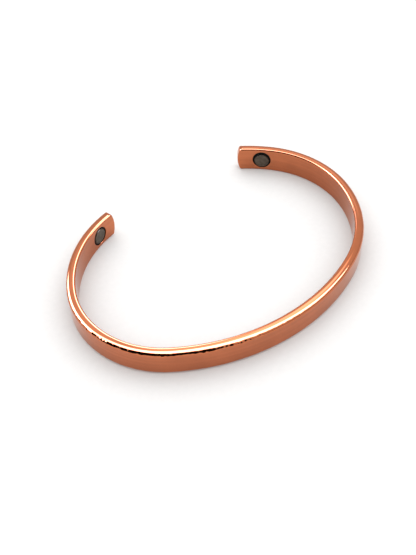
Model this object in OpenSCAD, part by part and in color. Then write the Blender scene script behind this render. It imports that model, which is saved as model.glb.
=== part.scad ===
// Magnetic bracelet: an open copper cuff with a round magnet let into the inside of each end.
// It lies on its edge. The closed back faces -Y, the mouth +Y, and the long axis of the oval is X.
// The bar is bent along arcs that run into one another without a kink. Both arms start at the lowest
// point of the back and curve round to their ends. Millimetres.

/* [Bar] */
// Height of the bar as it lies on its edge
bar_h = 6; // [5:0.1:9]
// Thickness of the bar
bar_t = 2; // [1.9:0.05:3]
// Rounding of the two outer edges
outer_round = 0.75; // [0.3:0.05:0.9]
// Rounding of the two inner edges
inner_round = 0.45; // [0.3:0.05:0.9]

/* [Bend of the back] */
// Radius of the back, along the middle of the bar
back_r = 44; // [40:1:48]
// Degrees that the back turns on the left
back_left_turn = 34; // [30:1:36]
// Degrees that the back turns on the right
back_right_turn = 26; // [24:1:30]

/* [Bend of the left arm] */
// Radius of the left corner
left_corner_r = 20; // [18:0.5:22]
// Degrees that the left corner turns
left_corner_turn = 81; // [78:1:84]
// Radius of the left arm
left_arm_r = 27; // [25:0.5:30]
// Degrees that the left arm turns, to the tip of its end
left_arm_turn = 53.5; // [45:0.5:56]

/* [Bend of the right arm] */
// Radius of the right corner
right_corner_r = 27; // [25:0.5:30]
// Degrees that the right corner turns
right_corner_turn = 51; // [48:1:54]
// Radius of the right side
right_side_r = 22; // [20:0.5:25]
// Degrees that the right side turns
right_side_turn = 54; // [50:1:58]
// Radius of the right arm
right_arm_r = 32; // [28:0.5:36]
// Degrees that the right arm turns, to the tip of its end
right_arm_turn = 14.5; // [14:0.5:18]

/* [Ends] */
// Radius of the domed end, seen from the side
dome_r = 7; // [6:0.5:12]
// Rounding of the two corners of each end
corner_r = 0.7; // [0.3:0.1:1.5]

/* [Magnets] */
// Diameter of the round pocket
pocket_d = 4.4; // [4.4:0.1:4.6]
// Depth of the pocket, from the inner face
pocket_deep = 1.2; // [0.8:0.1:1.4]
// Distance of the left magnet's middle from the tip of its end, along the bar
left_in = 5.3; // [4:0.1:8]
// Distance of the right magnet's middle from the tip of its end, along the bar
right_in = 5.9; // [4:0.1:8]
// Diameter of the magnet
magnet_d = 3.5; // [2.4:0.1:3.5]
// Chamfer of the magnet's rim
magnet_chamfer = 0.2; // [0.1:0.05:0.4]
// Height of the magnet over the inner face
magnet_proud = 0.1; // [0:0.05:0.4]
// How far the left magnet sits below the middle of its pocket
left_low = 0; // [0:0.05:0.3]
// How far the right magnet sits below the middle of its pocket
right_low = 0.3; // [0:0.05:0.3]
// Thickness of the glue under the magnet
glue_bed = 0.12; // [0.1:0.02:0.3]
// Depth of the glue's surface below the inner face
glue_low = 0.15; // [0.05:0.05:0.4]

/* [Hidden] */
$fn = 96;
// Clearance between pieces that meet
seat_gap = 0.03;
// Overrun of a cutter past the face that it cuts
over = 1;
// Length of bar that is cut again to shape each end
end_len = 3;

// The arms as rows of [radius, turn in degrees], from the lowest point of the back to the end
left_arm = [
    [back_r, back_left_turn],
    [left_corner_r, left_corner_turn],
    [left_arm_r, left_arm_turn],
];
right_arm = [
    [back_r, back_right_turn],
    [right_corner_r, right_corner_turn],
    [right_side_r, right_side_turn],
    [right_arm_r, right_arm_turn],
];
// The arc in which each arm runs straight along +Y, and so lies furthest out
left_widest = 1;
right_widest = 2;

// Direction of the arm after the first n arcs, in degrees from +X
function heading(arm, n) = n == 0 ? 0 : heading(arm, n - 1) + arm[n - 1][1];
// Middle of arc n of the arm, for an arm that starts at the origin along +X
function middle(arm, n) =
    n == 0 ? [0, arm[0][0]] :
    middle(arm, n - 1) + (arm[n - 1][0] - arm[n][0])
        * [sin(heading(arm, n)), -cos(heading(arm, n))];
// How far the outer face of the arm reaches along X and along Y
function reach_x(arm, n) = middle(arm, n)[0] + arm[n][0] + bar_t / 2;
function reach_y(arm) =
    middle(arm, len(arm) - 1)[1]
    - (arm[len(arm) - 1][0] + bar_t / 2) * cos(heading(arm, len(arm)));

// Moves that set the middle of the whole outline on the origin
shift_x = (reach_x(left_arm, left_widest) - reach_x(right_arm, right_widest)) / 2;
shift_y = (bar_t / 2 - max(reach_y(left_arm), reach_y(right_arm))) / 2;

// Section of the bar: X runs outwards from the middle of the bar, Y up from its lower edge
module section() {
    out_x = bar_t / 2 - outer_round;
    in_x = bar_t / 2 - inner_round;
    translate([-in_x, 0])
        square([in_x + out_x, bar_h]);
    translate([0, outer_round])
        square([bar_t / 2, bar_h - 2 * outer_round]);
    translate([-bar_t / 2, inner_round])
        square([bar_t / 2, bar_h - 2 * inner_round]);
    for (y = [outer_round, bar_h - outer_round])
        translate([out_x, y])
            circle(r = outer_round);
    for (y = [inner_round, bar_h - inner_round])
        translate([-in_x, y])
            circle(r = inner_round);
}

// Moves its children by whole millimetres, then thousandths, then what is left, so that the arcs meet
// without the small error of one long number
module exactly_at(v) {
    whole = [for (x = v) floor(x)];
    fine = [for (x = v - whole) floor(1000 * x) / 1000];
    translate(whole)
        translate(fine)
            translate(v - whole - fine)
                children();
}

// The bar along one arc round the origin, between two directions in degrees from +X
module bent_bar(r, from, turn) {
    rotate_extrude(angle = turn, start = from - 90)
        translate([r, 0])
            section();
}

// The bar along the back, which the two arms share
module back() {
    exactly_at([0, back_r])
        bent_bar(back_r, -back_left_turn, back_left_turn + back_right_turn);
}

// The bar along the arcs of an arm that follow the back
module bar(arm) {
    for (n = [1 : len(arm) - 1])
        exactly_at(middle(arm, n))
            bent_bar(arm[n][0], heading(arm, n), arm[n][1]);
}

// Sets its children on an arm, back from its end by a length along the bar: X along the bar towards
// the end, Y inwards
module on_arm(arm, from_end = 0) {
    last = len(arm) - 1;
    r = arm[last][0];
    translate(middle(arm, last))
        rotate(heading(arm, last + 1) - from_end / r * 180 / PI)
            translate([0, -r, 0])
                children();
}

// Side view of the bar's end, X towards the tip at 0: a shallow dome between two rounded corners
module end_outline() {
    corner_x = -dome_r + sqrt(pow(dome_r - corner_r, 2) - pow(bar_h / 2 - corner_r, 2));
    intersection() {
        translate([-dome_r, bar_h / 2])
            circle(r = dome_r);
        union() {
            translate([-2 * end_len, 0])
                square([2 * end_len + corner_x, bar_h]);
            translate([-2 * end_len, corner_r])
                square([2 * end_len + over, bar_h - 2 * corner_r]);
            for (y = [corner_r, bar_h - corner_r])
                translate([corner_x, y])
                    circle(r = corner_r);
        }
    }
}

// What is cut off the square end of the bar to leave the dome
module end_cutter() {
    difference() {
        translate([-end_len, -bar_t, -over])
            cube([end_len + over, 2 * bar_t, bar_h + 2 * over]);
        translate([0, bar_t + over, 0])
            rotate([90, 0, 0])
                linear_extrude(2 * (bar_t + over))
                    end_outline();
    }
}

// Sets its children at the mouth of a pocket, Z inwards out of the bar's inner face and Y down
module at_pocket(arm, from_end) {
    on_arm(arm, from_end)
        translate([0, bar_t / 2, bar_h / 2])
            rotate([-90, 0, 0])
                children();
}

// What is cut from an arm: the corners of its end and the pocket
module arm_cuts(arm, from_end) {
    on_arm(arm)
        end_cutter();
    at_pocket(arm, from_end)
        translate([0, 0, -pocket_deep])
            cylinder(d = pocket_d, h = pocket_deep + over);
}

// Magnet disc with a chamfer round its face
module magnet() {
    r = magnet_d / 2;
    low = -pocket_deep + glue_bed + seat_gap;
    rotate_extrude()
        polygon([
            [0, low],
            [r, low],
            [r, magnet_proud - magnet_chamfer],
            [r - magnet_chamfer, magnet_proud],
            [0, magnet_proud],
        ]);
}

// Glue that the magnet is bedded in: it fills the pocket up to a little below its mouth, apart from
// the room for a magnet that may sit lower than the middle
module glue(low) {
    floor_z = -pocket_deep + seat_gap;
    difference() {
        translate([0, 0, floor_z])
            cylinder(d = pocket_d - 2 * seat_gap, h = -glue_low - floor_z);
        translate([0, low, -pocket_deep + glue_bed])
            cylinder(d = magnet_d + 2 * seat_gap, h = pocket_deep + over);
    }
}

// Places for the left and for the right half
module on_left() {
    translate([shift_x, shift_y, 0])
        mirror([1, 0, 0])
            children();
}
module on_right() {
    translate([shift_x, shift_y, 0])
        children();
}

module cuff() {
    color("#c07a55")
        difference() {
            union() {
                on_right()
                    back();
                on_left()
                    bar(left_arm);
                on_right()
                    bar(right_arm);
            }
            on_left()
                arm_cuts(left_arm, left_in);
            on_right()
                arm_cuts(right_arm, right_in);
        }
}
module left_magnet() {
    color("#4a423c")
        on_left()
            at_pocket(left_arm, left_in)
                translate([0, left_low, 0])
                    magnet();
}
module right_magnet() {
    color("#4a423c")
        on_right()
            at_pocket(right_arm, right_in)
                translate([0, right_low, 0])
                    magnet();
}
module left_glue() {
    color("#140e0a")
        on_left()
            at_pocket(left_arm, left_in)
                glue(left_low);
}
module right_glue() {
    color("#140e0a")
        on_right()
            at_pocket(right_arm, right_in)
                glue(right_low);
}

cuff();
left_magnet();
right_magnet();
left_glue();
right_glue();
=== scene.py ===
# %% [markdown]
# # An open copper cuff with two magnets
#
# The real thing is a flat copper bar, about 15 cm long, bent round into an open oval. A small round
# magnet is glued into a pocket on the inside of each end. This lesson builds it in the order in which
# a maker would: the bar is made straight, its ends are rounded, the pockets are cut, and only then is
# it bent. Flat work is easier to measure and gives cleaner faces than work on a curve.

# %% Frame and libraries
from math import acos, cos, pi, radians, sin, sqrt

import bmesh
import bpy
from mathutils import Matrix, Vector


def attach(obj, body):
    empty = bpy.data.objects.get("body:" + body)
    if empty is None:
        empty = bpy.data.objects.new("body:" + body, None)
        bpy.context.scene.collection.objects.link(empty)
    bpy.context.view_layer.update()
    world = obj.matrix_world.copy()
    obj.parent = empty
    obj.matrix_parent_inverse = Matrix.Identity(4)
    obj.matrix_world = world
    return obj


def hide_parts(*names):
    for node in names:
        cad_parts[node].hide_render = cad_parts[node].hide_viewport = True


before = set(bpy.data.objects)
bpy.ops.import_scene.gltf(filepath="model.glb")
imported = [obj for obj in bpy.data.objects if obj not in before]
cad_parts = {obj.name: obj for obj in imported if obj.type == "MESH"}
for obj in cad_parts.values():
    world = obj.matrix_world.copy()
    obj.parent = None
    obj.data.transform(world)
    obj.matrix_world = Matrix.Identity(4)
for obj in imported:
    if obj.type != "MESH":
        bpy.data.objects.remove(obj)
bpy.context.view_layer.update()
MM = 0.001

# %% [markdown]
# ## The camera
#
# A camera can be placed by eye, by an Empty that it tracks, or by a matrix. Here its place was worked
# out from the outline of the bar in the picture, so a matrix is the exact way: its columns are the
# camera's right, its up and the direction behind it, and then the place of its eye. The lens is given
# for the long side of the picture, which is how Blender reads a sensor set to AUTO.

# %% Camera
CAMERA_EYE = Vector((-78.9107, -107.5839, 140.6759)) * MM
CAMERA_RIGHT = Vector((0.80025659, -0.5987973, -0.03211201))
CAMERA_UP = Vector((0.45799794, 0.5757649, 0.67729807))
CAMERA_BACK = CAMERA_RIGHT.cross(CAMERA_UP)

camera_data = bpy.data.cameras.new("camera")
camera_data.lens = 58.112
camera_data.sensor_width = 36
camera_data.clip_start = 0.005
camera = bpy.data.objects.new("camera", camera_data)
turn = Matrix((CAMERA_RIGHT, CAMERA_UP, CAMERA_BACK)).transposed()
camera.matrix_world = Matrix.Translation(CAMERA_EYE) @ turn.to_4x4()
bpy.context.scene.collection.objects.link(camera)
bpy.context.scene.camera = camera
print("camera looks down by", round(90 - acos(CAMERA_BACK.z) * 180 / pi, 1), "degrees from level")

# %% [markdown]
# ## Small helpers
#
# Each piece is built in a bmesh, which is Blender's editable mesh outside the viewport. At the end
# its doubles are merged, its faces are turned outwards and it becomes an object. The object stays at
# the origin and its place is in its mesh, so a pattern on object coordinates can't slide off it.


# %% Helpers for meshes
def finish_piece(name, bm, material, node):
    """Makes the bmesh an object that stands for a CAD node."""
    bmesh.ops.remove_doubles(bm, verts=bm.verts, dist=0.0005 * MM)
    bmesh.ops.recalc_face_normals(bm, faces=bm.faces)
    for face in bm.faces:
        face.smooth = True
    open_edges = sum(not edge.is_manifold for edge in bm.edges)
    volume = bm.calc_volume(signed=True) / MM**3
    mesh = bpy.data.meshes.new(name)
    bm.to_mesh(mesh)
    bm.free()
    mesh.materials.append(material)
    piece = bpy.data.objects.new(name, mesh)
    bpy.context.scene.collection.objects.link(piece)
    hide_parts(node)
    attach(piece, "root")
    print(f"{name}: {len(mesh.polygons)} faces, {open_edges} open edges, {volume:.1f} cubic mm")


def edges_of(result):
    return [e for e in result if isinstance(e, bmesh.types.BMEdge)]


def verts_of(result):
    return [v for v in result if isinstance(v, bmesh.types.BMVert)]


# %% [markdown]
# ## Helpers for materials
#
# A material is a small network of nodes. These helpers add a node and link its sockets by name, so
# that each finish below reads as a short list of what feeds what.


# %% Helpers for materials
class Finish:
    """A material whose nodes are added one by one."""

    def __init__(self, name):
        self.material = bpy.data.materials.new(name)
        self.material.use_nodes = True
        self.tree = self.material.node_tree
        self.shader = self.tree.nodes["Principled BSDF"]

    def node(self, kind, values=None, **settings):
        node = self.tree.nodes.new(kind)
        for key, value in settings.items():
            setattr(node, key, value)
        for key, value in (values or {}).items():
            self.feed(node, key, value)
        return node

    def feed(self, node, key, value):
        socket = node.inputs[key]
        if isinstance(value, bpy.types.NodeSocket):
            self.tree.links.new(value, socket)
        else:
            socket.default_value = value

    def noise(self, vector, scale, detail=3.0, roughness=0.5):
        made = self.node(
            "ShaderNodeTexNoise",
            {"Vector": vector, "Scale": scale, "Detail": detail, "Roughness": roughness},
        )
        return made.outputs["Fac"]

    def ramp(self, value, stops):
        made = self.node("ShaderNodeValToRGB", {"Fac": value})
        while len(made.color_ramp.elements) < len(stops):
            made.color_ramp.elements.new(0.5)
        for element, (place, colour) in zip(made.color_ramp.elements, stops):
            element.position = place
            element.color = (*colour, 1) if len(colour) == 3 else colour
        return made.outputs["Color"]

    def spread(self, value, low, high):
        """Turns a noise's usual range into the range from low to high."""
        made = self.node(
            "ShaderNodeMapRange",
            {"Value": value, "From Min": 0.3, "From Max": 0.7, "To Min": low, "To Max": high},
        )
        return made.outputs["Result"]

    def step(self, value, low, high, start=0.0, end=1.0):
        """Rises or falls softly from start to end while the value goes from low to high."""
        made = self.node(
            "ShaderNodeMapRange",
            {"Value": value, "From Min": low, "From Max": high, "To Min": start, "To Max": end},
            interpolation_type="SMOOTHSTEP",
        )
        return made.outputs["Result"]

    def blend(self, share, first, second):
        """Gives the first value where the share is 0, and the second where it is 1."""
        made = self.node("ShaderNodeMix", {"Factor": share}, data_type="FLOAT")
        self.feed(made, 2, first)
        self.feed(made, 3, second)
        return made.outputs[0]

    def part(self, vector, axis):
        made = self.node("ShaderNodeSeparateXYZ", {"Vector": vector})
        return made.outputs[axis]

    def stretch(self, vector, scale):
        made = self.node("ShaderNodeMapping", {"Vector": vector, "Scale": scale})
        return made.outputs["Vector"]

    def bump(self, height, distance, strength=1.0, normal=None):
        made = self.node(
            "ShaderNodeBump", {"Height": height, "Distance": distance, "Strength": strength}
        )
        if normal is not None:
            self.feed(made, "Normal", normal)
        return made.outputs["Normal"]

    def shade(self, sockets):
        for key, value in sockets.items():
            self.feed(self.shader, key, value)


# %% [markdown]
# ## Polished copper
#
# Copper is a metal, so nearly all its colour is the tint that it gives to what it mirrors. What makes
# it real is how slightly it fails to be a perfect mirror: cloudy handling marks that change its
# roughness, a faint warm and cool drift in its tint, hairlines left along the bar by polishing, and a
# slow waviness that bends long reflections. A thin clear lacquer, the shader's coat, keeps it from
# tarnishing and gives the whitest highlights, which bare copper would tint.
#
# The upper outer edge was filed by hand along the left corner and the back, and the file's small flats
# break the long highlight there into dashes. The hairlines and the filing follow the bar through an
# attribute that keeps each point's place on the straight bar, from before it was bent.

# %% Copper finish
# Tints as linear colours, by their place in the mottle
COPPER_TINTS = [(0.36, (0.46, 0.126, 0.043)), (0.50, (0.51, 0.140, 0.048)), (0.64, (0.56, 0.156, 0.056))]
STREAK_SHARE = 0.45
# Ranges over which the upper outer edge begins, outwards from the middle of the bar and upwards
EDGE_OUT = (0.45 * MM, 0.75 * MM)
EDGE_UP = (4.9 * MM, 5.3 * MM)
# Ranges along the bar over which the filing grows and fades, and its faintest shares on either side
FILING_GROWS = (28 * MM, 36 * MM)
FILING_FADES = (60 * MM, 90 * MM)
FAINT_BEFORE = 0.08
FAINT_AFTER = 0.15
# Depths of the bumps, and how strongly the two that run all along the bar show
WAVE_DEPTH = 0.03 * MM
HAIR_DEPTH = 0.0015 * MM
FILED_DEPTH = 0.5 * MM
SOFTLY = 0.35
# From the roughness of the smoothest places to that of the most handled ones
COPPER_ROUGHNESS = (0.03, 0.065)


def filed_share(finish, straight):
    """Gives how strongly the edge was filed at a place on the straight bar, from 0 to 1."""
    outside = finish.step(finish.part(straight, "Y"), *EDGE_OUT)
    top = finish.step(finish.part(straight, "Z"), *EDGE_UP)
    grows = finish.step(finish.part(straight, "X"), *FILING_GROWS, FAINT_BEFORE, 1.0)
    fades = finish.step(finish.part(straight, "X"), *FILING_FADES, 1.0, FAINT_AFTER)
    along = finish.blend(grows, 0.0, fades)
    return finish.blend(outside, 0.0, finish.blend(top, 0.0, along))


def copper_finish():
    copper = Finish("polished copper")
    place = copper.node("ShaderNodeTexCoord").outputs["Object"]
    straight = copper.node("ShaderNodeAttribute", attribute_name="blank").outputs["Vector"]

    # Scales are in waves per metre, so a small first number draws a pattern out along the bar
    clouds = copper.noise(place, 160, detail=4)
    streaks = copper.noise(copper.stretch(straight, (45, 1900, 1900)), 1, detail=1)
    hairs = copper.noise(copper.stretch(straight, (150, 9000, 9000)), 1, detail=2)
    marks = copper.noise(place, 420, detail=5, roughness=0.6)
    wave = copper.noise(copper.stretch(straight, (110, 260, 260)), 1, detail=1)
    filed = copper.noise(copper.stretch(straight, (650, 500, 500)), 1, detail=1)

    normal = copper.bump(wave, WAVE_DEPTH, SOFTLY)
    normal = copper.bump(hairs, HAIR_DEPTH, SOFTLY, normal)
    normal = copper.bump(filed, FILED_DEPTH, filed_share(copper, straight), normal)
    copper.shade({
        "Base Color": copper.ramp(copper.blend(STREAK_SHARE, clouds, streaks), COPPER_TINTS),
        "Metallic": 1.0,
        "Roughness": copper.spread(marks, *COPPER_ROUGHNESS),
        "Specular Tint": (0.95, 0.75, 0.65, 1),
        "Normal": normal,
        "Coat Weight": 0.6,
        "Coat Roughness": 0.04,
        "Coat IOR": 1.5,
        "Coat Normal": normal,
    })
    return copper.material


copper_material = copper_finish()
print("copper nodes:", len(copper_material.node_tree.nodes))

# %% [markdown]
# ## The straight bar: its section
#
# The bar is 6 mm high and 2 mm thick. Its two outer edges are rounder than its two inner ones, and its
# top and bottom aren't quite flat: they are highest a little inside the middle and fall away towards
# the outer face, as polishing leaves them. That slight crown spreads a lamp into a band.
#
# The section could be drawn point by point, but a rectangle whose corners are bevelled says it better:
# a vertex bevel turns each corner into an arc, and a wide one turns the ridge into a soft crown. The
# long sides then get a few more points, so that the faces between them stay small and mirror smoothly.

# %% Section of the bar
BAR_HEIGHT = 6 * MM
BAR_THICKNESS = 2 * MM
OUTER_ROUND = 0.66 * MM
INNER_ROUND = 0.32 * MM
# How far the top falls to the outer and to the inner edge
OUTER_DROP = 0.15 * MM
INNER_DROP = 0.03 * MM
# The ridge of the crown: its place, how widely it is eased, and its extra height, which easing takes off
RIDGE_Y = -0.20 * MM
RIDGE_EASE = 0.36 * MM
RIDGE_RISE = 0.012 * MM
CROWN_STEPS = 6
ROUND_STEPS = 8
FLAT_STEPS = 10
# Width of the narrow faces that keep the roundings apart from the flats
HOLD = 0.08 * MM

OUTER_Y = BAR_THICKNESS / 2
INNER_Y = -BAR_THICKNESS / 2
MIDDLE_Z = BAR_HEIGHT / 2
# Two places nearer to each other than this are the same place
SAME = 0.0001 * MM


def split_flat(bm, edge):
    """Cuts a straight edge near both ends, and evenly in between."""
    first, last = edge.verts
    near = bmesh.utils.edge_split(edge, first, HOLD / edge.calc_length())[1]
    rest = next(e for e in near.link_edges if last in e.verts)
    bmesh.utils.edge_split(rest, last, HOLD / rest.calc_length())
    middle = next(e for e in near.link_edges if e.calc_length() > 2 * HOLD)
    bmesh.ops.subdivide_edges(bm, edges=[middle], cuts=FLAT_STEPS - 1)


def bar_section(bm, x):
    """Makes the section of the bar as one face across X."""
    upright = Matrix.Translation((x, 0, MIDDLE_Z)) @ Matrix.Rotation(pi / 2, 4, "Y")
    size = Matrix.Diagonal((MIDDLE_Z, OUTER_Y, 1, 1))
    bmesh.ops.create_grid(bm, x_segments=1, y_segments=1, size=1, matrix=upright @ size)
    level = [e for e in bm.edges if abs(e.verts[0].co.z - e.verts[1].co.z) < SAME]
    ridges = [bmesh.utils.edge_split(edge, edge.verts[0], 0.5)[1] for edge in level]
    for vert in bm.verts:
        if vert in ridges:
            vert.co.y, drop = RIDGE_Y, -RIDGE_RISE
        else:
            drop = OUTER_DROP if vert.co.y > 0 else INNER_DROP
        vert.co.z += drop if vert.co.z < MIDDLE_Z else -drop
    bmesh.ops.bevel(
        bm, geom=ridges, offset=RIDGE_EASE, offset_type="OFFSET", segments=CROWN_STEPS,
        profile=0.5, affect="VERTICES", clamp_overlap=False, material=-1,
    )
    for side, radius in ((1, OUTER_ROUND), (-1, INNER_ROUND)):
        corners = [v for v in bm.verts if abs(v.co.y - side * OUTER_Y) < SAME]
        bmesh.ops.bevel(
            bm, geom=corners, offset=radius, offset_type="OFFSET", segments=ROUND_STEPS,
            profile=0.5, affect="VERTICES", clamp_overlap=False, material=-1,
        )
    for edge in [e for e in bm.edges if e.calc_length() > 2 * MM]:
        split_flat(bm, edge)
    print("section:", len(bm.verts), "points,", len(bm.faces), "face")


# %% [markdown]
# ## The straight bar: its length
#
# The path of the bend comes first, because it gives the length: a row of arcs, each as long as its
# radius times its turn. The bar itself is swept straight. Spin with no angle and a shift does that, so
# one operator makes the whole length. Near each magnet the steps are sized so that the middle of the
# pocket falls on a ring of points.

# %% Path of the bend
# Rows of [radius in mm, turn in degrees] from the left end round the back to the right end
BEND = [(27, 53.5), (20, 81), (44, 60), (27, 51), (22, 54), (32, 14.5)]
# Direction of the bar at its left end, in degrees from +X
LEFT_HEADING = -168.5
# The arc of the back, and where its lowest point lies, in mm
BACK_ARC = 2
BACK_LOWEST = Vector((-0.451765, -23.7913))

# Distances of the magnets from the ends, along the bar, and the steps from an end to its magnet
LEFT_IN = 5.3 * MM
RIGHT_IN = 5.9 * MM
RING_STEPS = 10


def bend_arcs():
    """Gives each arc as (radius, first heading, last heading, middle), in metres and radians."""
    headings = [LEFT_HEADING]
    for _, degrees in BEND:
        headings.append(headings[-1] + degrees)
    middles = {BACK_ARC: Vector((0, BEND[BACK_ARC][0])) + BACK_LOWEST}

    def outward(degrees):
        return Vector((sin(radians(degrees)), -cos(radians(degrees))))

    for n in range(BACK_ARC + 1, len(BEND)):
        middles[n] = middles[n - 1] + (BEND[n - 1][0] - BEND[n][0]) * outward(headings[n])
    for n in range(BACK_ARC - 1, -1, -1):
        middles[n] = middles[n + 1] + (BEND[n + 1][0] - BEND[n][0]) * outward(headings[n + 1])
    return [
        (BEND[n][0] * MM, radians(headings[n]), radians(headings[n + 1]), middles[n] * MM)
        for n in range(len(BEND))
    ]


ARCS = bend_arcs()
BAR_LENGTH = sum(radius * (last - first) for radius, first, last, _ in ARCS)
print("length of the bar in mm:", round(BAR_LENGTH / MM, 2))


def bend_place(x):
    """Gives the middle of the arc at x along the bar, its radius, and the outward direction there."""
    for radius, first, last, middle in ARCS:
        length = radius * (last - first)
        if x <= length + SAME or last == ARCS[-1][2]:
            heading = first + x / radius
            return middle, radius, Vector((sin(heading), -cos(heading)))
        x -= length


def bent(co):
    """Moves a point of the straight bar to its place on the bent one."""
    middle, radius, outward = bend_place(co.x)
    flat = middle + (radius + co.y) * outward
    return Vector((flat.x, flat.y, co.z))


# %% Straight bar
RIM_ROUND = 0.3 * MM
RIM_STEPS = 4
# Rings from each end to past its magnet, and between those two stretches
POCKET_RINGS = 18
MIDDLE_RINGS = 260


def sweep(bm, faces, length, steps):
    """Draws the faces out along X and returns the faces at the far end."""
    geometry = list({v for f in faces for v in f.verts}) + list({e for f in faces for e in f.edges})
    swept = bmesh.ops.spin(
        bm, geom=geometry + list(faces), cent=(0, 0, 0), axis=(0, 0, 1),
        dvec=(length / steps, 0, 0), angle=0, steps=steps, use_duplicate=False,
    )
    return [f for f in swept["geom_last"] if isinstance(f, bmesh.types.BMFace)]


def straight_bar(bm):
    bar_section(bm, RIM_ROUND)
    left_ring = LEFT_IN / RING_STEPS
    right_ring = RIGHT_IN / RING_STEPS
    middle_part = BAR_LENGTH - left_ring * POCKET_RINGS - right_ring * POCKET_RINGS
    last = sweep(bm, bm.faces[:], left_ring - RIM_ROUND, 1)
    last = sweep(bm, last, left_ring * (POCKET_RINGS - 1), POCKET_RINGS - 1)
    last = sweep(bm, last, middle_part, MIDDLE_RINGS)
    last = sweep(bm, last, right_ring * (POCKET_RINGS - 1), POCKET_RINGS - 1)
    sweep(bm, last, right_ring - RIM_ROUND, 1)
    print("straight bar:", len(bm.verts), "points,", len(bm.faces), "faces")


# %% [markdown]
# ## The ends of the bar
#
# Each end is a shallow dome between two rounded corners, and its rim is eased all round. The easing is
# a row of insets that step outwards along a quarter circle, and rungs then fill the flat that is left.
# The dome isn't cut: the points near the end slide back along the bar, by how far the dome stands back
# at their height.

# %% Ends of the bar
DOME_RADIUS = 7 * MM
CORNER_RADIUS = 0.7 * MM
# Length of bar over which the sliding dies out
SLIDE_ZONE = 2.6 * MM


def stands_back(z):
    """How far the end's outline stands back from its tip at height z."""
    off = abs(z - MIDDLE_Z)
    corner_off = MIDDLE_Z - CORNER_RADIUS
    corner_x = DOME_RADIUS - sqrt((DOME_RADIUS - CORNER_RADIUS) ** 2 - corner_off**2)
    meets = DOME_RADIUS * corner_off / (DOME_RADIUS - CORNER_RADIUS)
    if off <= meets:
        return DOME_RADIUS - sqrt(DOME_RADIUS**2 - off**2)
    into_corner = min(off - corner_off, CORNER_RADIUS)
    return corner_x - sqrt(CORNER_RADIUS**2 - into_corner**2)


def ease_rim(bm, cap):
    """Insets the cap in steps along a quarter circle, and returns it."""
    inwards = outwards = 0
    for step in range(1, RIM_STEPS + 1):
        angle = pi / 2 * step / RIM_STEPS
        to_in, to_out = RIM_ROUND * (1 - cos(angle)), RIM_ROUND * sin(angle)
        bmesh.ops.inset_region(
            bm, faces=[cap], thickness=to_in - inwards, depth=to_out - outwards,
            use_even_offset=True, use_boundary=True,
        )
        inwards, outwards = to_in, to_out
    return cap


def fill_cap(bm, cap):
    """Replaces the cap by rungs between its outer and its inner side."""
    edges = list(cap.edges)
    bmesh.ops.delete(bm, geom=[cap], context="FACES_ONLY")

    def middle_y(edge):
        return (edge.verts[0].co.y + edge.verts[1].co.y) / 2

    sides = [
        e for e in edges
        if middle_y(e) > OUTER_Y - OUTER_ROUND or middle_y(e) < INNER_Y + INNER_ROUND
    ]
    bmesh.ops.grid_fill(bm, edges=sides, mat_nr=0, use_smooth=True, use_interp_simple=False)


def shape_ends(bm):
    caps = sorted((f for f in bm.faces if len(f.verts) > 8), key=lambda f: f.calc_center_median().x)
    for cap in (caps[0], caps[-1]):
        fill_cap(bm, ease_rim(bm, cap))
    for vert in bm.verts:
        for sign, tip in ((1, 0), (-1, BAR_LENGTH)):
            away = sign * (vert.co.x - tip)
            if away < SLIDE_ZONE:
                vert.co.x += sign * stands_back(vert.co.z) * (1 - away / SLIDE_ZONE)
                break
    print("after the ends:", len(bm.verts), "points,", len(bm.faces), "faces")


# %% [markdown]
# ## The pockets for the magnets
#
# A hole could be cut with a Boolean, but that leaves long thin faces which show as dents in a mirror
# finish. Here a square patch of the inner face is taken out, a circle with as many points is set into
# the hole, and bridge_loops joins the two. The circle is made a little in front of the face and set
# back afterwards, because two loops in one plane leave the bridge no way to tell its own direction.
# Extruding the circle then gives the eased mouth, the wall and the floor.

# %% Pockets
POCKET_RADIUS = 2.2 * MM
POCKET_DEEP = 1.2 * MM
MOUTH_ROUND = 0.08 * MM
MOUTH_STEPS = 3
# Rings taken out on either side of the pocket's middle, and how far in front the circle is made
PATCH_RINGS = 5
LIFT = 1 * MM
# Room for the small errors that a long sweep adds up
SLACK = 0.01 * MM


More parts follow.
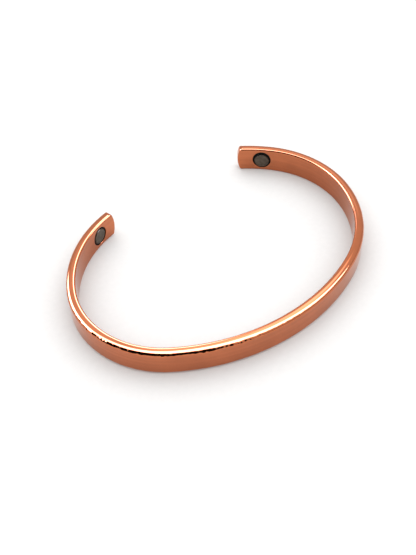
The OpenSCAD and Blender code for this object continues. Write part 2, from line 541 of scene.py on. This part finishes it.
def cut_pocket(bm, middle_x, ring):
    reach_x = PATCH_RINGS * ring + SLACK
    patch_z = MIDDLE_Z - INNER_DROP - INNER_ROUND - HOLD / 2
    patch = [
        f for f in bm.faces
        if all(abs(v.co.y - INNER_Y) < SAME and abs(v.co.x - middle_x) < reach_x
               and abs(v.co.z - MIDDLE_Z) < patch_z for v in f.verts)
    ]
    inside = set(patch)
    border = [e for f in patch for e in f.edges if any(n not in inside for n in e.link_faces)]
    bmesh.ops.delete(bm, geom=patch, context="FACES")

    face_on = Matrix.Translation((middle_x, INNER_Y - LIFT, MIDDLE_Z)) @ Matrix.Rotation(pi / 2, 4, "X")
    ring_made = bmesh.ops.create_circle(
        bm, cap_ends=False, radius=POCKET_RADIUS + MOUTH_ROUND, segments=len(border), matrix=face_on,
    )
    mouth = list({e for v in ring_made["verts"] for e in v.link_edges})
    bridge = bmesh.ops.bridge_loops(bm, edges=border + mouth)
    bmesh.ops.translate(bm, vec=(0, LIFT, 0), verts=ring_made["verts"])
    bmesh.ops.subdivide_edges(bm, edges=edges_of(bridge["edges"]), cuts=2, use_grid_fill=True)

    radius, depth = POCKET_RADIUS + MOUTH_ROUND, 0.0
    steps = [
        (POCKET_RADIUS + MOUTH_ROUND * (1 - sin(pi / 2 * n / MOUTH_STEPS)),
         MOUTH_ROUND * (1 - cos(pi / 2 * n / MOUTH_STEPS)))
        for n in range(1, MOUTH_STEPS + 1)
    ] + [(POCKET_RADIUS, POCKET_DEEP / 2), (POCKET_RADIUS, POCKET_DEEP)]
    loop = mouth
    to_middle = Matrix.Translation((-middle_x, 0, -MIDDLE_Z))
    for new_radius, new_depth in steps:
        made = bmesh.ops.extrude_edge_only(bm, edges=loop)["geom"]
        loop = edges_of(made)
        grow = new_radius / radius
        bmesh.ops.scale(bm, vec=(grow, 1, grow), verts=verts_of(made), space=to_middle)
        bmesh.ops.translate(bm, vec=(0, new_depth - depth, 0), verts=verts_of(made))
        radius, depth = new_radius, new_depth
    bmesh.ops.edgeloop_fill(bm, edges=loop)
    print(f"pocket at {middle_x / MM:.2f} mm: {len(patch)} faces out, {len(border)} points round")


# %% [markdown]
# ## Bending the bar
#
# The path is a row of arcs that run into one another without a kink. Each point keeps its height and
# its distance from the middle of the bar, and its place along the bar becomes an angle on its arc. Its
# straight place is kept in an attribute first, for the polishing lines.

# %% Cuff
def make_cuff():
    bm = bmesh.new()
    straight_bar(bm)
    shape_ends(bm)
    cut_pocket(bm, LEFT_IN, LEFT_IN / RING_STEPS)
    cut_pocket(bm, BAR_LENGTH - RIGHT_IN, RIGHT_IN / RING_STEPS)
    blank = bm.verts.layers.float_vector.new("blank")
    for vert in bm.verts:
        vert[blank] = vert.co
        vert.co = bent(vert.co)
    finish_piece("copper_cuff", bm, copper_material, "cuff")


make_cuff()

# %% [markdown]
# ## The magnets
#
# Each magnet is a small dark disc, ground flat and with its edge broken all round. A plain cylinder
# would catch no light on its rim, so a disc is extruded and its rim is bevelled, and two insets keep
# the face flat right up to the bevel. It is made at the origin and then set into its pocket by a
# matrix. The right magnet was glued in a little low, as the picture shows.

# %% Placing things in a pocket
def pocket_matrix(x):
    """Z points out of the pocket's mouth, towards the wrist; X runs along the bar and Y down."""
    middle, radius, outward = bend_place(x)
    spot = middle + (radius + INNER_Y) * outward
    inward = Vector((-outward.x, -outward.y, 0))
    along = Vector((inward.y, -inward.x, 0))
    turn = Matrix((along, inward.cross(along), inward)).transposed()
    return Matrix.Translation((spot.x, spot.y, MIDDLE_Z)) @ turn.to_4x4()


PLACES = {
    "left": pocket_matrix(LEFT_IN),
    "right": pocket_matrix(BAR_LENGTH - RIGHT_IN),
}


# %% Magnet finish
def magnet_finish():
    magnet = Finish("ground magnet")
    place = magnet.node("ShaderNodeTexCoord").outputs["Object"]
    grain = magnet.noise(place, 9000, detail=3, roughness=0.7)
    patches = magnet.noise(place, 1400, detail=4)
    tint = magnet.ramp(patches, [(0.3, (0.070, 0.054, 0.040)), (0.7, (0.125, 0.098, 0.074))])
    rough = magnet.spread(grain, 0.32, 0.46)
    normal = magnet.bump(grain, 0.000004, 0.5)
    magnet.shade({"Base Color": tint, "Metallic": 0.85, "Roughness": rough, "Normal": normal})
    return magnet.material


magnet_material = magnet_finish()

# %% Magnets
MAGNET_RADIUS = 1.75 * MM
MAGNET_CHAMFER = 0.2 * MM
MAGNET_PROUD = 0.1 * MM
# Level of its underside, below the cuff's inner face
MAGNET_LOW = -1.05 * MM
FACE_INSETS = (0.04 * MM, 0.5 * MM)
# How far each magnet sits below the middle of its pocket
SITS_LOW = {"left": 0.0, "right": 0.3 * MM}


def make_magnet(side):
    bm = bmesh.new()
    low = Matrix.Translation((0, 0, MAGNET_LOW))
    bmesh.ops.create_circle(bm, cap_ends=True, radius=MAGNET_RADIUS, segments=72, matrix=low)
    raised = bmesh.ops.extrude_face_region(bm, geom=bm.faces[:], use_keep_orig=True)["geom"]
    bmesh.ops.translate(bm, vec=(0, 0, MAGNET_PROUD - MAGNET_LOW), verts=verts_of(raised))
    rim = [e for e in bm.edges if all(v.co.z > 0 for v in e.verts)]
    bmesh.ops.bevel(
        bm, geom=rim, offset=MAGNET_CHAMFER, offset_type="OFFSET", segments=3, profile=0.5,
        affect="EDGES", clamp_overlap=True, material=-1,
    )
    top = max(bm.faces, key=lambda f: f.calc_center_median().z)
    for width in FACE_INSETS:
        bmesh.ops.inset_region(bm, faces=[top], thickness=width, use_even_offset=True)
    bmesh.ops.translate(bm, vec=(0, SITS_LOW[side], 0), verts=bm.verts)
    bmesh.ops.transform(bm, matrix=PLACES[side], verts=bm.verts)
    finish_piece(f"{side}_magnet_disc", bm, magnet_material, f"{side}_magnet")


for side in PLACES:
    make_magnet(side)

# %% [markdown]
# ## The glue, and the shade painted round each magnet
#
# Black glue beds each magnet. It fills the floor of the pocket and rises round the disc as a ring,
# whose surface hangs in a shallow curve between the disc and the copper. It is coloured near pure
# black, darker than glue itself, so its colour also paints the shade in the narrow gap round the
# disc. Its half section is drawn as a short chain of points and spun once round the pocket's axis. The
# right magnet sits low in its pocket, so the middle of that ring is moved down with it while its
# outside stays where it is.

# %% Glue finish, whose black also paints the shade in the gap
def glue_and_gap_shade_finish():
    glue = Finish("black glue and painted gap shade")
    place = glue.node("ShaderNodeTexCoord").outputs["Object"]
    lumps = glue.noise(place, 2600, detail=2)
    # Near pure black, darker than the glue itself: this colour also paints the shade in the narrow gap
    # round the disc
    tint = glue.ramp(lumps, [(0.3, (0.001, 0.0008, 0.0006)), (0.7, (0.004, 0.003, 0.0024))])
    rough = glue.spread(lumps, 0.35, 0.6)
    normal = glue.bump(lumps, 0.00002, 0.5)
    # A low specular level keeps that painted shade black
    glue.shade({"Base Color": tint, "Roughness": rough, "Specular IOR Level": 0.12, "Normal": normal})
    return glue.material


# Black glue whose colour also paints the shade in the gap round each magnet
glue_and_gap_shade_material = glue_and_gap_shade_finish()

# %% Glue
GAP = 0.03 * MM
GLUE_LOW = 0.15 * MM
GLUE_SAG = 0.12 * MM
SAG_STEPS = 5
GLUE_ROUND = 48


def make_glue(side):
    inner = MAGNET_RADIUS + GAP
    outer = POCKET_RADIUS - GAP
    floor = -POCKET_DEEP + GAP
    bed = MAGNET_LOW - GAP
    half = [(0, bed), (inner, bed), (inner, -GLUE_LOW)]
    for n in range(1, SAG_STEPS):
        part = n / SAG_STEPS
        half.append((inner + (outer - inner) * part, -GLUE_LOW - GLUE_SAG * sin(pi * part)))
    half += [(outer, -GLUE_LOW), (outer, floor), (0, floor)]

    bm = bmesh.new()
    chain = [bm.verts.new((r, 0, z)) for r, z in half]
    edges = [bm.edges.new(pair) for pair in zip(chain, chain[1:])]
    bmesh.ops.spin(
        bm, geom=chain + edges, cent=(0, 0, 0), axis=(0, 0, 1), dvec=(0, 0, 0), angle=2 * pi,
        steps=GLUE_ROUND, use_merge=True, use_duplicate=False,
    )
    for vert in bm.verts:
        share = (outer - Vector(vert.co.xy).length) / (outer - inner)
        vert.co.y += SITS_LOW[side] * min(max(share, 0), 1)
    bmesh.ops.transform(bm, matrix=PLACES[side], verts=bm.verts)
    # The ring carries the glue's black, which also paints the shade in the gap round the disc
    finish_piece(f"{side}_glue_and_gap_shade_ring", bm, glue_and_gap_shade_material, f"{side}_glue")


for side in PLACES:
    make_glue(side)

# %% [markdown]
# ## Floor
#
# The cuff lies on a sheet of pale paper. A round sheet that reaches past the picture is enough, with a
# faint grain so that it isn't one flat colour.

# %% Floor
FLOOR_RADIUS = 600 * MM


def paper_finish():
    paper = Finish("pale paper")
    place = paper.node("ShaderNodeTexCoord").outputs["Object"]
    fibres = paper.noise(place, 900, detail=4)
    tint = paper.ramp(fibres, [(0.3, (0.79, 0.785, 0.78)), (0.7, (0.81, 0.805, 0.80))])
    paper.shade({"Base Color": tint, "Roughness": 0.9, "Specular IOR Level": 0.0})
    return paper.material


def make_floor():
    bm = bmesh.new()
    bmesh.ops.create_circle(bm, cap_ends=True, radius=FLOOR_RADIUS, segments=96)
    mesh = bpy.data.meshes.new("floor")
    bm.to_mesh(mesh)
    bm.free()
    mesh.materials.append(paper_finish())
    floor = bpy.data.objects.new("floor", mesh)
    bpy.context.scene.collection.objects.link(floor)


make_floor()

# %% [markdown]
# ## The room that the copper mirrors
#
# A mirror shows its room, so copper is lit by what stands round it. Area lamps could do that, but the
# world's own nodes can draw any number of soft lamps by direction, without noise. Each lamp here is
# either a rectangle on a ceiling or a round patch round a direction.
#
# As in a studio, each thing gets the light that suits it: the copper mirrors the lamps, the paper gets
# a broad soft dome that is stronger from the far side, and the background is plain white. The
# brightest lamps are slightly cool, so that copper's warm tint brings their highlights to white.

# %% Directions and helpers for the room
TO_CAMERA = Vector((CAMERA_BACK.x, CAMERA_BACK.y, 0)).normalized()
TO_RIGHT = Vector((CAMERA_RIGHT.x, CAMERA_RIGHT.y, 0)).normalized()
UP = Vector((0, 0, 1))
# The ceiling is drawn only for directions steeper than these heights
CEILING_HEIGHT = (0.05, 0.12)


def aim(near, side, up):
    """A direction, from its parts towards the camera, to the right and up."""
    return (near * TO_CAMERA + side * TO_RIGHT + up * UP).normalized()


class Room(Finish):
    """The world's nodes, in the same short form as a finish."""

    def __init__(self):
        world = bpy.data.worlds.new("studio")
        world.use_nodes = True
        bpy.context.scene.world = world
        self.tree = world.node_tree
        self.background = self.tree.nodes["Background"]
        self.direction = self.node("ShaderNodeTexCoord").outputs["Generated"]
        self.height = self.towards(UP)
        above = self.maths("MAXIMUM", self.height, CEILING_HEIGHT[0])
        self.near = self.maths("DIVIDE", self.towards(TO_CAMERA), above)
        self.side = self.maths("DIVIDE", self.towards(TO_RIGHT), above)

    def maths(self, operation, first, second=0.0):
        made = self.node("ShaderNodeMath", operation=operation)
        self.feed(made, 0, first)
        self.feed(made, 1, second)
        return made.outputs["Value"]

    def towards(self, vector):
        made = self.node("ShaderNodeVectorMath", operation="DOT_PRODUCT")
        self.feed(made, 0, self.direction)
        self.feed(made, 1, tuple(vector))
        return made.outputs["Value"]

    def patch(self, direction, low, high, strength):
        """A soft-edged round patch, whose edge lies between two cosines from its direction."""
        return self.step(self.towards(direction), low, high, 0.0, strength)

    def between(self, value, limits, soft):
        """Gives 1 between two limits and 0 outside them, with soft edges."""
        low, high = limits
        rises = self.step(value, low - soft, low + soft)
        falls = self.step(value, high - soft, high + soft, 1.0, 0.0)
        return self.maths("MULTIPLY", rises, falls)

    def ceiling_box(self, near, side, soft, strength):
        """A rectangle on a ceiling of height 1: its two limits towards the camera, and to the right."""
        inside_near = self.between(self.near, near, soft)
        inside_side = self.between(self.side, side, soft)
        made = self.maths("MULTIPLY", inside_near, inside_side)
        made = self.maths("MULTIPLY", made, self.step(self.height, *CEILING_HEIGHT))
        return self.maths("MULTIPLY", made, strength)


# %% Lamps of the room
# Brightness of the wall, which grows from a little below level to high overhead
WALL_HEIGHT = (-0.2, 0.9)
WALL_BRIGHT = (0.6, 1.05)
# Rows of limits towards the camera, limits to the right, softness and brightness, for a ceiling box
CEILING_BOXES = [
    # The large lamp, mirrored by the rounded edges
    ((-0.50, 0.13), (-1.60, 1.30), 0.05, 9.0),
    # Two sheets beside it, mirrored by the top of the front and of its right half
    ((-0.90, -0.52), (-0.12, 0.03), 0.05, 1.2),
    ((-0.85, -0.52), (0.03, 0.32), 0.06, 2.6),
    # A narrow strip, mirrored as a line on the inner edge of the left arm
    ((-1.10, -0.88), (-0.17, -0.04), 0.04, 10.0),
    # Two faint sheets, mirrored by the tops of the left arm and of the far arm
    ((-1.14, -0.52), (-0.50, -0.12), 0.06, 0.3),
    ((-1.60, -1.10), (-0.10, 0.40), 0.06, 0.5),
]
# Rows of direction, the two cosines of its edge, and brightness, for a round patch
PATCHES = [
    # A small lamp behind the cuff on the left, mirrored by the outer edge of the left arm
    (aim(-0.38, -0.72, 0.57), 0.93, 0.96, 14.0),
    # The dark side, where the camera stands
    (aim(1.0, -0.42, 0.45), 0.60, 0.70, -3.0),
]
# A dark gap beside the large lamp, mirrored as a black line along the front
DARK_GAP = (aim(0.35, -0.42, 0.84), 0.90, 0.95, 1.0)
DARKEST = 0.01
# The paper's dome: the direction in which it falls off, and its brightness from the far side to the near
DOME_AIM = aim(0.95, -0.2, 0.0)
DOME_EDGE = (-0.9, 0.9)
DOME_BRIGHT = (1.85, 1.0)
# Brightness of the room for light that reaches the paper by way of the copper
DIM = 0.35
# Colour of the brightest lamps, and the range of brightness over which it is reached
COOL = (0.95, 1.07, 1.52)
COOL_RANGE = (2.0, 9.0)


def mirrored_room(room):
    """Gives the brightness of the room in each direction, as the copper mirrors it."""
    total = room.step(room.height, *WALL_HEIGHT, *WALL_BRIGHT)
    for box in CEILING_BOXES:
        total = room.maths("ADD", total, room.ceiling_box(*box))
    for patch in PATCHES:
        total = room.maths("ADD", total, room.patch(*patch))
    total = room.blend(room.patch(*DARK_GAP), total, 0.0)
    return room.maths("MAXIMUM", total, DARKEST)


def make_room():
    room = Room()
    mirrored = mirrored_room(room)
    ray = room.node("ShaderNodeLightPath").outputs
    from_paper = room.maths("GREATER_THAN", ray["Diffuse Depth"], 0.5)
    dome = room.step(room.towards(DOME_AIM), *DOME_EDGE, *DOME_BRIGHT)
    lit = room.blend(ray["Is Glossy Ray"], dome, room.blend(from_paper, mirrored, DIM))
    shown = room.blend(ray["Is Camera Ray"], lit, 1.0)
    cool = room.blend(ray["Is Glossy Ray"], 0.0, room.step(mirrored, *COOL_RANGE))
    room.feed(room.background, "Color", room.ramp(cool, [(0.0, (1, 1, 1)), (1.0, COOL)]))
    room.feed(room.background, "Strength", shown)
    print("room nodes:", len(room.tree.nodes))


make_room()
bpy.context.scene.view_settings.view_transform = "Standard"
